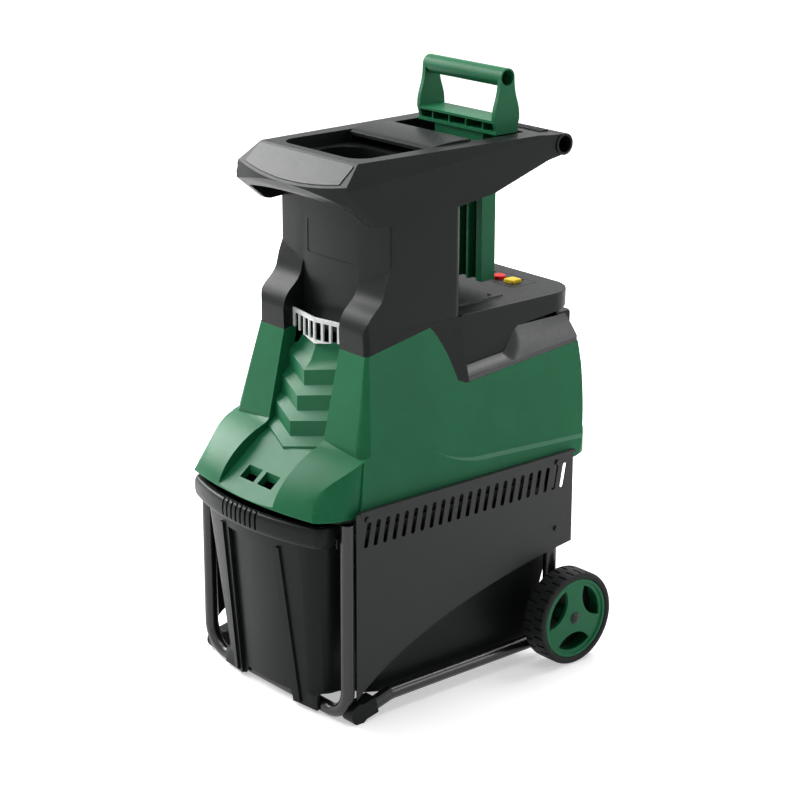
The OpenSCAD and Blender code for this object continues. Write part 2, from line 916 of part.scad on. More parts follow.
module cover_plan(inset) {
    round_rect([-cover_half + inset, chute_rear - 60], [cover_half - inset, cover_rear - inset], 56 - inset);
}

module rear_cover() {
    color(black) difference() {
        intersection() {
            upright(cover_low, cover_top) cover_plan(0);
            across(-200, 200) polygon(concat(
                [[chute_rear + fit, cover_low], [scoop_y - 20, deck_at(scoop_y - 20) + cover_gap]],
                curve([scoop_y - 16, deck_at(scoop_y - 16) + cover_gap],
                    [scoop_y + 6, deck_at(scoop_y + 6) + cover_gap], [scoop_y + 8, scoop_z],
                    [scoop_y + 14, scoop_z], 8),
                [[cover_rear + 1, scoop_z + 12], [cover_rear + 1, cover_top], [chute_rear + fit, cover_top]]
            ));
        }
        upright(cover_low - 1, cover_top - shell_t) cover_plan(shell_t);
        upright(cover_top - shell_t - 1, cover_top + 1) panel_plan(fit);
    }
    color(black) upright(cover_top, cover_top + 3) difference() {
        round_rect([-90, chute_rear + 18], [90, plunger_y + 8], 14);
        translate([-200, 0]) square([400, 30]);
    }
}

ledge_band = 7;
ledge_rise = 30;
ledge_w = 52;
ledge_t = 4;
ledge_half = half_chute + 14;
wall_in = 48;

// Sloped deck on both sides of the machine; drop lowers its surface.
module ledge_form(drop) {
    low = ledge_band - drop;
    high = low + ledge_rise;
    translate([0, chute_rear - 6, deck_front_z]) rotate([deck_pitch, 0, 0]) along(-20, 400) polygon([
        [-half_base, -20], [half_base, -20], [half_base, low], [ledge_half, low], [ledge_half - ledge_w, high],
        [ledge_w - ledge_half, high], [-ledge_half, low], [-half_base, low]
    ]);
}

module ledge_side_view(inset) {
    polygon([
        [chute_rear + fit, deck_front_z + 1 - inset], [rear_top[0] - 1 - inset, deck_rear_z + 0.3 - inset],
        [rear_top[0] - 1 - inset, deck_rear_z + ledge_band],
        [rear_top[0] - 15 - inset, deck_rear_z + ledge_band + ledge_rise],
        [chute_rear + fit, deck_rear_z + ledge_band + ledge_rise]
    ]);
}

module wall_plan(inset) {
    round_rect([-cover_half + wall_in + inset, chute_rear + fit - 2 * inset],
        [cover_half - wall_in - inset, rear_top[0] - 14 - inset], 20 - inset);
}

// Ledge between the rear cover and the lower housing, with the wall that carries the cover.
module rear_deck() {
    color(black) difference() {
        union() {
            intersection() {
                ledge_form(0);
                across(-300, 300) ledge_side_view(0);
                upright(base_z, cover_top)
                    round_rect([-half_base, chute_rear - 80], [half_base, rear_top[0] - 1], 48);
                along(-400, 400) body_front_view(0);
            }
            upright(deck_at(chute_rear) + ledge_band + ledge_rise - 2, cover_top - shell_t - fit) wall_plan(0);
        }
        intersection() {
            ledge_form(ledge_t);
            across(-300, 300) ledge_side_view(ledge_t);
            upright(base_z, cover_top)
                round_rect([-half_base + ledge_t, chute_rear - 80], [half_base - ledge_t, rear_top[0] - 5], 44);
            along(-400, 400) body_front_view(ledge_t);
        }
        upright(base_z, cover_top) wall_plan(3);
        drive_space();
        along(rear_top[0] - 14, 400) round_rect([inlet_x - 19, deck_rear_z + 11], [inlet_x + 19, deck_rear_z + 43], 6);
    }
}

// Controls

panel_low = [-62, plunger_y + 48];
panel_high = [62, plunger_y + 102];
button_y = plunger_y + 74;
button_x = [-34, 0, 34];
button_d = 24;
button_travel = 3;
button_proud = 5;

module panel_plan(grow) {
    round_rect(panel_low - [grow, grow], panel_high + [grow, grow], 10);
}

module switch_panel() {
    color(black) difference() {
        upright(cover_top - shell_t, cover_top) panel_plan(0);
        for (x = [button_x[0], button_x[1]]) translate([x, button_y, 0])
            cylinder(h = cover_top + 1, r = button_d / 2 + fit);
        upright(0, cover_top + 1) square_plan(fit);
    }
    color(black) difference() {
        upright(cover_top - 26, cover_top - shell_t) panel_plan(-4);
        upright(cover_top - 27, cover_top - shell_t + 1) panel_plan(-7);
    }
}

module round_button(x, tint) {
    color(tint) translate([x, button_y, cover_top - 14]) rotate_extrude() {
        square([button_d / 2, 14 + button_proud - 2]);
        square([button_d / 2 - 2, 14 + button_proud]);
        translate([button_d / 2 - 2, 14 + button_proud - 2]) circle(2);
    }
}

module start_button() { round_button(button_x[0], "seagreen"); }

module stop_button() { round_button(button_x[1], "firebrick"); }

// Square outline of the reverse button.
module square_plan(grow) {
    half = button_d / 2 - 1 + grow;
    middle = [button_x[2], button_y];
    round_rect(middle - [half, half], middle + [half, half], 3);
}

module reverse_button() {
    color("gold") {
        upright(cover_top - 14, cover_top + button_proud - 1) square_plan(0);
        upright(cover_top - 14, cover_top + button_proud) square_plan(-1);
    }
}

module switch_unit() {
    color(dark) upright(cover_top - 46, cover_top - 26) panel_plan(-4);
    color(dark) for (x = button_x) translate([x, button_y, cover_top - 26])
        cylinder(h = 12 - button_travel - fit, r = 5);
}

inlet_x = 92;

module appliance_inlet() {
    color(dark) difference() {
        along(rear_top[0] - 14, rear_top[0] + 16) translate([0, 0])
            round_rect([inlet_x - 19, deck_rear_z + 11], [inlet_x + 19, deck_rear_z + 43], 6);
        along(rear_top[0] - 8, rear_top[0] + 17)
            round_rect([inlet_x - 16, deck_rear_z + 14], [inlet_x + 16, deck_rear_z + 40], 4);
    }
    color(dark) for (x = [-8, 0, 8])
        rod_y(rear_top[0] - 9, rear_top[0] + 8, inlet_x + x, deck_rear_z + (x == 0 ? 31 : 24), 2);
}

// Hopper

lip_front = chute_front - 89;
lip_top_z = rim_z - 41;
keel = [chute_front - 14, rim_z - 99];
tail_y = plunger_y + 83.5;
tail_z = rim_z - 20;
rim_front = lip_front + 49;

module hopper_side_view() {
    polygon([
        [lip_front, lip_top_z], [lip_front + 11, lip_top_z - 13], [keel[0] - 14, keel[1] + 4], keel,
        [chute_rear - 3, rim_z - 87], [chute_rear + 61, rim_z - 78], [tail_y - 32.5, rim_z - 42],
        [tail_y, tail_z - tail_d / 2 + 1], [tail_y, tail_z + tail_d / 2 - 1], [tail_y - 28.5, rim_z - 2],
        [tail_y - 52.5, rim_z], [rim_front, rim_z]
    ]);
}

crease_pitch = 4.4;

module hopper_front_view(inset) {
    half_low = half_chute - inset;
    half_wide = half_chute + 4 - inset;
    half_rim = 112 - inset;
    polygon([
        [-half_low, rim_z - 167], [half_low, rim_z - 167], [half_wide, lip_top_z + 6], [half_rim, rim_z + 9],
        [half_rim - 6, rim_z + 93], [-half_rim + 6, rim_z + 93], [-half_rim, rim_z + 9],
        [-half_wide, lip_top_z + 6]
    ]);
}

module hopper_form(inset) {
    intersection() {
        across(-300, 300) hopper_side_view();
        translate([0, 0, 12]) rotate([crease_pitch, 0, 0]) along(-400, 400) hopper_front_view(inset);
        upright(rim_z - 167, rim_z + 33) intersection() {
            translate([0, lip_front + 600]) circle(600, $fn = 360);
            translate([-half_chute - 6, -260]) square([chute_w + 12, 600]);
        }
    }
}

throat_c = [0, (chute_front + chute_rear) / 2 - 17];
throat_rx = 84;
throat_ry = 48;
basin_z = rim_z - 21;
slot_half = 100;
slot_front = plunger_y - 73;

module throat_2d() {
    offset_x = throat_rx - throat_ry;
    for (s = [-1, 1]) translate(throat_c + [s * offset_x, 0]) circle(throat_ry);
    translate(throat_c + [-offset_x, -throat_ry]) square([2 * offset_x, 2 * throat_ry]);
}

blade_y = plunger_y - 4;

module blade_plan(grow) {
    translate([0, blade_y]) square([blade_w + 2 * grow, blade_d + 2 * grow], center = true);
}

// Space under the hopper, open at the bottom behind the front slope.
module hopper_side_cavity() {
    polygon([
        [lip_front + 8, lip_top_z - 3], [lip_front + 15, lip_top_z - 9], [keel[0] - 8, keel[1] + 9],
        [keel[0] - 8, keel[1] - 30], [tail_y - 26.5, keel[1] - 30], [tail_y - 26.5, rim_z - 6],
        [rim_front + 3, rim_z - 5]
    ]);
}

// Collar that sits on the top edge of the chute.
module chute_collar() {
    difference() {
        upright(chute_top - 12, basin_z - 1) chute_plan(-fit - shell_t);
        upright(chute_top + fit + shell_t, basin_z) chute_plan(0);
    }
}

module hopper() {
    color(black) difference() {
        union() {
            difference() {
                hopper_form(0);
                hopper_hollow();
            }
            intersection() {
                hopper_form(0);
                union() {
                    upright(basin_z - 4, rim_z) round_rect([-102, -143], [102, 88], 32);
                    throat_wall();
                    chute_collar();
                    upright(basin_z - 12, rim_z)
                        round_rect([-slot_half - 4, slot_front - 4], [slot_half + 4, slot_rear + 4], 10);
                    upright(rim_z - 167, basin_z) blade_plan(plunger_play + 4);
                }
            }
            hood();
            tail_ribs();
            rod_x(-tail_l / 2, tail_l / 2, tail_y, tail_z, tail_d / 2);
        }
        difference() {
            upright(basin_z, rim_z + 1) round_rect([-98, -139], [98, 84], 30);
            hood();
            hood_base();
        }
        upright(basin_z - 8, rim_z + 1) round_rect([-slot_half, slot_front], [slot_half, slot_rear], 8);
        upright(rim_z - 167, rim_z + 33) throat_2d();
        upright(rim_z - 167, rim_z + 33) blade_plan(plunger_play);
        rod_x(-tail_l / 2 - 5, tail_l / 2 + 5, tail_y, tail_z, tail_d / 2 - 4);
        upright(rim_z - 167, chute_top + fit) chute_plan(-fit);
        upright(rim_z - 167, chute_top + 20) chute_plan(shell_t + 2);
    }
}

slot_rear = plunger_y + 34;
tail_rib_n = 29;

// Fine ribs across the top of the tail.
module tail_ribs() {
    for (i = [0:tail_rib_n - 1])
        translate([(i - (tail_rib_n - 1) / 2) * 7.4 - 1.7, tail_y - 25, rim_z - 6]) cube([3.4, 20, 5.4]);
}

module hopper_hollow() {
    intersection() {
        across(-300, 300) hopper_side_cavity();
        translate([0, 0, 12]) rotate([crease_pitch, 0, 0]) along(-400, 400) hopper_front_view(4);
        upright(rim_z - 167, rim_z + 33) translate([0, lip_front + 605]) circle(600, $fn = 360);
    }
}

hood_r = 110;
hood_c = [chute_rear + 20, basin_z - 76];

// Raised curved deck behind the throat.
module hood() {
    intersection() {
        difference() {
            rod_x(-98, 98, hood_c[0], hood_c[1], hood_r);
            rod_x(-94, 94, hood_c[0], hood_c[1], hood_r - 4);
        }
        translate([-98, 4, basin_z - 2]) cube([196, 84, 60]);
    }
}

module hood_base() {
    translate([-98, 4, basin_z - 4]) cube([196, 84, 4]);
}

throat_low = basin_z - 40;

module throat_wall() {
    upright(throat_low, basin_z) {
        for (s = [-1, 1]) translate(throat_c + [s * (throat_rx - throat_ry), 0]) circle(throat_ry + 4);
        translate(throat_c + [-(throat_rx - throat_ry), -throat_ry - 4])
            square([2 * (throat_rx - throat_ry), 2 * throat_ry + 8]);
    }
}

module hopper_front_plate() {
    slope = atan2(rim_z - lip_top_z, rim_front - lip_front);
    color([0.30, 0.32, 0.32]) intersection() {
        translate([0, lip_front, lip_top_z]) rotate([slope, 0, 0])
            upright(0, 1.2) round_rect([-116, 6], [116, 59], 5);
        upright(rim_z - 167, rim_z + 33) translate([0, lip_front + 604]) circle(600, $fn = 360);
    }
}

// Feed funnel

funnel_top = throat_low - fit;
funnel_wall = 3.5;

// Tapered duct from the throat to the cutting chamber; grow moves the walls outwards.
module funnel_form(grow, z0, z1) {
    low = [chamber_front + chamber_wall, chamber_rear - chamber_wall];
    high = [throat_c[1] - throat_ry, throat_c[1] + throat_ry];
    intersection() {
        across(-200, 200) polygon([
            [high[0] - grow, z1], [high[1] + grow, z1], [low[1] + grow, z0], [low[0] - grow, z0]
        ]);
        along(-300, 300) polygon([
            [-throat_rx - grow, z1], [throat_rx + grow, z1], [chamber_in + grow, z0], [-chamber_in - grow, z0]
        ]);
    }
}

module feed_funnel() {
    color(dark) difference() {
        funnel_form(funnel_wall, chamber_top, funnel_top);
        funnel_form(0, chamber_top - 0.1, funnel_top + 0.1);
    }
}

// Plunger

plate_x = 90;
end_plate_t = 7;
grip_half = 93;
plunger_foot = rim_z + fit;

module pear() {
    translate([plunger_y, grip_z]) circle(grip_d / 2);
    polygon(concat(
        curve([plunger_y - grip_d / 2, grip_z], [plunger_y - grip_d / 2, grip_z - 34],
            [plunger_y - 27, grip_z - 38], [plunger_y - 27, grip_z - 66], 8),
        [[plunger_y - 20, plunger_foot], [plunger_y + 20, plunger_foot]],
        curve([plunger_y + 27, grip_z - 66], [plunger_y + 27, grip_z - 38],
            [plunger_y + grip_d / 2, grip_z - 34], [plunger_y + grip_d / 2, grip_z], 8)
    ));
}

module plunger_handle() {
    color(green) difference() {
        union() {
            rod_x(-grip_half, grip_half, plunger_y, grip_z, grip_d / 2);
            both_sides() across(grip_half - end_plate_t, grip_half) pear();
            across(-grip_half, grip_half) translate([plunger_y - 24, plunger_foot]) square([48, 5]);
            across(-grip_half, grip_half) translate([plunger_y - 26, plunger_foot + 18]) square([52, 4]);
            across(-grip_half, grip_half) translate([plunger_y + 20, plunger_foot]) square([4, 20]);
            for (x = [-60, -20, 20, 60]) across(x - 1.5, x + 1.5)
                translate([plunger_y - 22, plunger_foot]) square([44, 20]);
        }
        rod_x(-grip_half - 1, grip_half + 1, plunger_y, grip_z, grip_d / 2 - 2.5);
    }
}

blade_low = cover_top + 20;

module plunger_blade() {
    color(green) upright(basin_z - 8 + 0.2, basin_z - 2) difference() {
        blade_plan(8);
        blade_plan(-2);
    }
    color(green) difference() {
        upright(blade_low, plunger_foot) union() {
            blade_plan(0);
        }
        for (x = [-36, -12, 12, 36], s = [-1, 1])
            translate([x - 9, blade_y + s * blade_d / 2 - 11, blade_low - 1]) cube([18, 22, 200]);
    }
}

// Cutting unit

module cutter_chamber() {
    color(alloy) difference() {
        translate([-chamber_in - chamber_wall, chamber_front, tray_top])
            cube([2 * (chamber_in + chamber_wall), chamber_rear - chamber_front, chamber_top - tray_top]);
        translate([-chamber_in, chamber_front + chamber_wall, tray_top - 1])
            cube([2 * chamber_in, chamber_rear - chamber_front - 2 * chamber_wall, 300]);
        rod_y(chamber_front - 1, chamber_rear + 1, 0, cutter_z, bush_r);
        rod_x(-chamber_in - chamber_wall - 1, -chamber_in + 1, cutter_y, cutter_z, screw_r + run_gap);
    }
}

module cutter_bearings() {
    color(steel) for (y = [chamber_front, chamber_rear - chamber_wall]) difference() {
        rod_y(y, y + chamber_wall, 0, cutter_z, bush_r);
        rod_y(y - 1, y + chamber_wall + 1, 0, cutter_z, shaft_d / 2 + run_gap);
    }
}

case_front = chamber_rear;
case_wall = 6;
layer_c = case_front + case_wall + 2;
gear_w = 13;
layer_b = layer_c + gear_w + 2;
layer_a = layer_b + gear_w + 2;
case_rear = layer_a + gear_w + 3;

module cutter_shaft() {
    color(steel) rod_y(chamber_front - 6, layer_c + gear_w, 0, cutter_z, shaft_d / 2);
}

// Hooked outline of the cutter: each tooth has a steep face and a long back.
function cutter_points() = [
    for (i = [0:cutter_teeth - 1], p = [[0.78, 0], [0.74, 0.12], [0.80, 0.42], [0.95, 0.80], [1, 0.92], [0.99, 0.99]])
        let (a = (i + p[1]) * 360 / cutter_teeth, r = cutter_r * p[0])
            [r * cos(a), r * sin(a)]
];

module cutter_roller() {
    color(steel) difference() {
        translate([0, cutter_y + cutter_l / 2, cutter_z]) rotate([90, 0, 0])
            linear_extrude(cutter_l, twist = 50, slices = 10) polygon(cutter_points());
        rod_y(chamber_front, chamber_rear, 0, cutter_z, shaft_d / 2);
    }
}

plate_h = 56;
plate_face = cutter_r + plate_gap;

module counter_plate() {
    color(alloy) difference() {
        along(chamber_front + chamber_wall + fit, chamber_rear - chamber_wall - fit) polygon([
            [-chamber_in + 0.5, cutter_z - plate_h / 2], [-plate_face - 3, cutter_z - plate_h / 2],
            [-plate_face, cutter_z - 12], [-plate_face, cutter_z + 12],
            [-plate_face - 3, cutter_z + plate_h / 2], [-chamber_in + 0.5, cutter_z + plate_h / 2]
        ]);
        rod_x(-chamber_in - 1, -plate_face - 2, cutter_y, cutter_z, screw_r + run_gap);
    }
}

knob_x = half_base - 16;

module adjust_screw() {
    color(steel) rod_x(-knob_x - 4, -plate_face - 3, cutter_y, cutter_z, screw_r);
}

module adjust_knob() {
    color(dark) translate([-knob_x, cutter_y, cutter_z]) rotate([0, -90, 0]) difference() {
        cylinder(h = 22, r = 22);
        for (a = [0:30:359]) rotate([0, 0, a]) translate([23.5, 0, -1]) cylinder(h = 24, r = 4);
        translate([0, 0, -1]) cylinder(h = 6, r = screw_r);
    }
}

// Drive: three spur gear stages from the motor to the cutter

press_angle = 25;
centre_1 = module_1 * (pinion_n + gear_n) / 2;
centre_2 = module_2 * (pinion_n + gear_n) / 2;
centre_3 = module_3 * (pinion3_n + output_n) / 2;
dir_3 = -30;
dir_2 = 80;
dir_1 = 195;
at_cutter = [0, cutter_z];
at_second = at_cutter + centre_3 * [cos(dir_3), sin(dir_3)];
at_first = at_second + centre_2 * [cos(dir_2), sin(dir_2)];
at_motor = at_first + centre_1 * [cos(dir_1), sin(dir_1)];

function involute(a) = tan(a) - a * PI / 180;

// Half the angle of a tooth at radius r, in degrees.
function tooth_half(n, m, r) =
    let (pitch_r = m * n / 2, base_r = pitch_r * cos(press_angle), a = r > base_r ? acos(base_r / r) : 0)
        90 / n - tooth_play / 2 / pitch_r * 180 / PI + (involute(press_angle) - involute(a)) * 180 / PI;

function tooth_radii(n, m) =
    let (pitch_r = m * n / 2, base_r = pitch_r * cos(press_angle), tip = pitch_r + 0.9 * m, root = pitch_r - 1.2 * m,
        low = max(root + 0.1, base_r + 0.01))
        concat([root], [for (k = [0:3]) low + (tip - low) * k / 3]);

// Outline of a spur gear with one tooth centred on the angle given.
module gear_2d(n, m, first) {
    radii = tooth_radii(n, m);
    count = len(radii);
    polygon([
        for (i = [0:n - 1], k = [0:2 * count - 1])
            let (r = radii[k < count ? k : 2 * count - 1 - k], side = k < count ? -1 : 1,
                a = first + i * 360 / n + side * tooth_half(n, m, r))
                [r * cos(a), r * sin(a)]
    ]);
}

module gear(at, y0, w, n, m, first, bore) {
    difference() {
        translate([at[0], y0 + w, at[1]]) rotate([90, 0, 0]) linear_extrude(w) gear_2d(n, m, first);
        if (bore > 0) rod_y(y0 - 1, y0 + w + 1, at[0], at[1], bore);
    }
}

idler_r = 7;
pinion_bore = 6;

module motor_pinion() {
    color(steel) gear(at_motor, layer_a, gear_w, pinion_n, module_1, dir_1 + 180, pinion_bore);
}

module first_idler_gear() {
    color(steel) {
        gear(at_first, layer_a, gear_w, gear_n, module_1, dir_1 + 180 / gear_n, idler_r + run_gap);
        gear(at_first, layer_b - 1, gear_w + 3, pinion_n, module_2, dir_2 + 180, idler_r + run_gap);
    }
}

module second_idler_gear() {
    color(steel) {
        gear(at_second, layer_b, gear_w, gear_n, module_2, dir_2 + 180 / gear_n, idler_r + run_gap);
        gear(at_second, layer_c - 1, gear_w + 3, pinion3_n, module_3, dir_3 + 180, idler_r + run_gap);
    }
}

module output_gear() {
    color(steel) gear(at_cutter, layer_c, gear_w, output_n, module_3, dir_3 + 180 / output_n, shaft_d / 2);
}

module idler_shafts() {
    color(steel) for (p = [at_first, at_second])
        rod_y(case_front, case_rear + case_wall, p[0], p[1], idler_r);
}

case_low = [
    at_cutter[0] - module_3 * (output_n / 2 + 1) - 3, at_second[1] - module_2 * (gear_n / 2 + 1) - 3
];
case_high = [
    at_first[0] + module_1 * (gear_n / 2 + 1) + 3, at_first[1] + module_1 * (gear_n / 2 + 1) + 3
];

module gearbox_case() {
    color(alloy) difference() {
        along(case_front, case_rear) round_rect(case_low - [4, 4], case_high + [4, 4], 12);
        along(case_front + case_wall, case_rear + 1) round_rect(case_low, case_high, 10);
        rod_y(case_front - 1, case_front + case_wall + 1, 0, cutter_z, shaft_d / 2 + 2);
        for (p = [at_first, at_second])
            rod_y(case_front - 1, case_front + case_wall + 1, p[0], p[1], idler_r);
    }
}

module gearbox_cover() {
    color(alloy) difference() {
        along(case_rear, case_rear + case_wall) round_rect(case_low - [4, 4], case_high + [4, 4], 12);
        for (p = [at_first, at_second])
            rod_y(case_rear - 1, case_rear + case_wall + 1, p[0], p[1], idler_r);
        rod_y(case_rear - 1, case_rear + case_wall + 1, at_motor[0], at_motor[1], motor_shaft_r + run_gap);
    }
}

motor_shaft_r = 8;
motor_r = motor_d / 2;
motor_front = case_rear + case_wall + 10;
motor_l = 104;
bore_r = 33;

module motor_stator() {
    color(steel) difference() {
        rod_y(motor_front, motor_front + motor_l, at_motor[0], at_motor[1], motor_r);
        rod_y(motor_front - 1, motor_front + motor_l + 1, at_motor[0], at_motor[1], bore_r);
    }
}

module motor_end_shields() {
    color(alloy) for (y = [motor_front - 10, motor_front + motor_l]) difference() {
        rod_y(y, y + 10, at_motor[0], at_motor[1], motor_r - 4);
        rod_y(y - 1, y + 11, at_motor[0], at_motor[1], motor_shaft_r + run_gap);
    }
}

fan_y = motor_front + motor_l + 14;

module motor_rotor() {
    color(steel) {
        rod_y(layer_a - 1, layer_a + gear_w + 1, at_motor[0], at_motor[1], pinion_bore);
        rod_y(layer_a + gear_w + 1, fan_y + 16, at_motor[0], at_motor[1], motor_shaft_r);
        rod_y(motor_front + 2, motor_front + motor_l - 2, at_motor[0], at_motor[1], bore_r - 0.5);
    }
}

module cooling_fan() {
    color(dark) difference() {
        union() {
            rod_y(fan_y, fan_y + 3, at_motor[0], at_motor[1], motor_r - 12);
            rod_y(fan_y, fan_y + 14, at_motor[0], at_motor[1], motor_shaft_r + 5);
            for (a = [0:40:359]) translate([at_motor[0], fan_y, at_motor[1]]) rotate([0, a, 0])
                translate([motor_shaft_r + 3, 1, -1]) cube([motor_r - 17 - motor_shaft_r, 12, 2]);
        }
        rod_y(fan_y - 1, fan_y + 17, at_motor[0], at_motor[1], motor_shaft_r);
    }
}

module motor_cradle() {
    color(alloy) difference() {
        translate([at_motor[0] - 44, motor_front + 12, tray_top])
            cube([88, motor_l - 24, at_motor[1] - motor_r * 0.7 - tray_top]);
        rod_y(motor_front, motor_front + motor_l, at_motor[0], at_motor[1], motor_r);
    }
}

module capacitor() {
    color("lightgray") rod_y(motor_front + 10, motor_front + 90, at_motor[0] - motor_r - 46, tray_top + 24, 24);
}

// Screws beside the buttons and on the raised plate.
module cover_screws() {
    color(dark) for (x = [-1, 1]) {
        translate([x * 34, button_y + 21, cover_top]) cylinder(h = 1.5, r = 3.5);
        translate([x * 74, plunger_y - 16, cover_top + 3]) cylinder(h = 1.5, r = 3.5);
    }
}

front_loop();
mirror([1, 0, 0]) side_rail();  // side_rail_left
side_rail();  // side_rail_right
mirror([1, 0, 0]) foot();  // foot_left
foot();  // foot_right
axle();
mirror([1, 0, 0]) side_panel();  // side_panel_left
side_panel();  // side_panel_right
mirror([1, 0, 0]) box_runner();  // box_runner_left
box_runner();  // box_runner_right
mirror([1, 0, 0]) tyre();  // tyre_left
tyre();  // tyre_right
mirror([1, 0, 0]) rim();  // rim_left
rim();  // rim_right
mirror([1, 0, 0]) hub_cap();  // hub_cap_left
hub_cap();  // hub_cap_right
collection_box();
box_grip();
lower_housing();
base_tray();
chute_housing();
vent_grille();
rear_cover();
rear_deck();
hopper();
hopper_front_plate();
feed_funnel();
plunger_handle();
plunger_blade();
switch_panel();
start_button();
stop_button();
reverse_button();
switch_unit();
appliance_inlet();
motor_stator();
motor_rotor();
motor_end_shields();
motor_cradle();
cooling_fan();
motor_pinion();
gearbox_case();
gearbox_cover();
idler_shafts();
first_idler_gear();
second_idler_gear();
output_gear();
cutter_shaft();
cutter_roller();
cutter_bearings();
cutter_chamber();
counter_plate();
adjust_screw();
adjust_knob();
capacitor();
panel_screws();
cover_screws();
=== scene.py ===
import json
import math

import bmesh
import bpy
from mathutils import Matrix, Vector


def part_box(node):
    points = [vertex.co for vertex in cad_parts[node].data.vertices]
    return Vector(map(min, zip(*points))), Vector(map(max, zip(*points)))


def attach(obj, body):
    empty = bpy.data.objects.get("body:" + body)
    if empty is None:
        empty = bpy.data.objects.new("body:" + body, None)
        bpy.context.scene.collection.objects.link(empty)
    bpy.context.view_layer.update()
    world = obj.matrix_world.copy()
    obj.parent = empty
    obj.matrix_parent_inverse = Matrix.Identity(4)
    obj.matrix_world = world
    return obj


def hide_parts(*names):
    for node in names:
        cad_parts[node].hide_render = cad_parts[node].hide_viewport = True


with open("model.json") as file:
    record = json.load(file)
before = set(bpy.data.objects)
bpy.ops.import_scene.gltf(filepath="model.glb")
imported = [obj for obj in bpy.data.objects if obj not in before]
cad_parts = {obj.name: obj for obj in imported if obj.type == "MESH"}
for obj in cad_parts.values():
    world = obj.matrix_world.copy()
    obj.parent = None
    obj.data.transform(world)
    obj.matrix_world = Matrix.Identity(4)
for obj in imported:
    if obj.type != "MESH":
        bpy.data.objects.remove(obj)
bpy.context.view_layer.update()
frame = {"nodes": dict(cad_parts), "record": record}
cad = frame["nodes"]
slots = {part["node"]: part["material_slot"] for part in frame["record"]["subparts"]}


# Materials: lengths in metres, noise in cells per metre

NOISE_RANGE = (0.3, 0.7)                # holds most values of a noise
MOTTLE, MOTTLE_DETAIL = 9.0, 3.0        # slow change of tint
SCUFF, SCUFF_DETAIL = 14 * MOTTLE, 6.0  # change of gloss, and where edges keep their tint
GLOSS_SPREAD = 0.03
GRAIN_DETAIL, GRAIN_STRENGTH = 2.0, 0.3
EDGE_SAMPLES, EDGE_RANGE = 6, (0.45, 0.95)
WEAR_SHARE, WEAR_RANGE = (0.15, 0.9), (0.4, 0.65)
POLISH_GAIN, POLISH_LIFT = 1.5, 0.006   # a polished edge against the plain colour


def new_material(name):
    mat = bpy.data.materials.new(name)
    mat.use_nodes = True
    return mat, mat.node_tree.nodes, mat.node_tree.links


def noise(nodes, links, scale, detail, stretch=None):
    """A noise texture in object space."""
    place = nodes.new("ShaderNodeTexCoord")
    tex = nodes.new("ShaderNodeTexNoise")
    tex.inputs["Scale"].default_value = scale
    tex.inputs["Detail"].default_value = detail
    source = place.outputs["Object"]
    if stretch:
        mapping = nodes.new("ShaderNodeMapping")
        mapping.inputs["Scale"].default_value = stretch
        links.new(source, mapping.inputs["Vector"])
        source = mapping.outputs["Vector"]
    links.new(source, tex.inputs["Vector"])
    return tex.outputs["Fac"]


def span(nodes, links, source, to, over=NOISE_RANGE):
    """Map a grey value from one range of numbers to another."""
    node = nodes.new("ShaderNodeMapRange")
    node.inputs["From Min"].default_value, node.inputs["From Max"].default_value = over
    node.inputs["To Min"].default_value, node.inputs["To Max"].default_value = to
    links.new(source, node.inputs["Value"])
    return node.outputs["Result"]


def combined(nodes, links, operation, a, b):
    """Result of a Math node on two values."""
    node = nodes.new("ShaderNodeMath")
    node.operation = operation
    links.new(a, node.inputs[0])
    links.new(b, node.inputs[1])
    return node.outputs[0]


def mixed(nodes, links, factor, low, high):
    """Blend of two colours; each is a colour or the output of a node."""
    node = nodes.new("ShaderNodeMix")
    node.data_type = "RGBA"
    links.new(factor, node.inputs["Factor"])
    for socket, value in ((node.inputs[6], low), (node.inputs[7], high)):
        if isinstance(value, tuple):
            socket.default_value = (*value, 1)
        else:
            links.new(value, socket)
    return node.outputs[2]


def surface(name, colour, rough, metallic=0.0, specular=0.5, spread=0.10,
            grain=1500.0, depth=0.00015, stretch=None, rim=0.0025):
    """Slow change of tint, change of gloss, fine grain and edges polished over a rim's width."""
    mat, nodes, links = new_material(name)
    shader = nodes["Principled BSDF"]
    shader.inputs["Metallic"].default_value = metallic
    shader.inputs["Specular IOR Level"].default_value = specular
    low = tuple(c * (1 - spread) for c in colour)
    high = tuple(min(1.0, c * (1 + spread)) for c in colour)
    slow = noise(nodes, links, MOTTLE, MOTTLE_DETAIL)
    tint = mixed(nodes, links, span(nodes, links, slow, (0, 1)), low, high)
    scuff = noise(nodes, links, SCUFF, SCUFF_DETAIL, stretch)
    if rim:
        near_edge = nodes.new("ShaderNodeAmbientOcclusion")
        near_edge.inside = True
        near_edge.only_local = True
        near_edge.samples = EDGE_SAMPLES
        near_edge.inputs["Distance"].default_value = rim
        edge = span(nodes, links, near_edge.outputs["AO"], (1, 0), EDGE_RANGE)
        broken = span(nodes, links, scuff, WEAR_SHARE, WEAR_RANGE)
        polished = tuple(min(1.0, c * POLISH_GAIN + POLISH_LIFT) for c in colour)
        wear = combined(nodes, links, "MULTIPLY", edge, broken)
        tint = mixed(nodes, links, wear, tint, polished)
    links.new(tint, shader.inputs["Base Color"])
    gloss = span(nodes, links, scuff, (rough - GLOSS_SPREAD, rough + GLOSS_SPREAD))
    links.new(gloss, shader.inputs["Roughness"])
    bump = nodes.new("ShaderNodeBump")
    bump.inputs["Strength"].default_value = GRAIN_STRENGTH
    bump.inputs["Distance"].default_value = depth
    links.new(noise(nodes, links, grain, GRAIN_DETAIL, stretch), bump.inputs["Height"])
    links.new(bump.outputs["Normal"], shader.inputs["Normal"])
    return mat


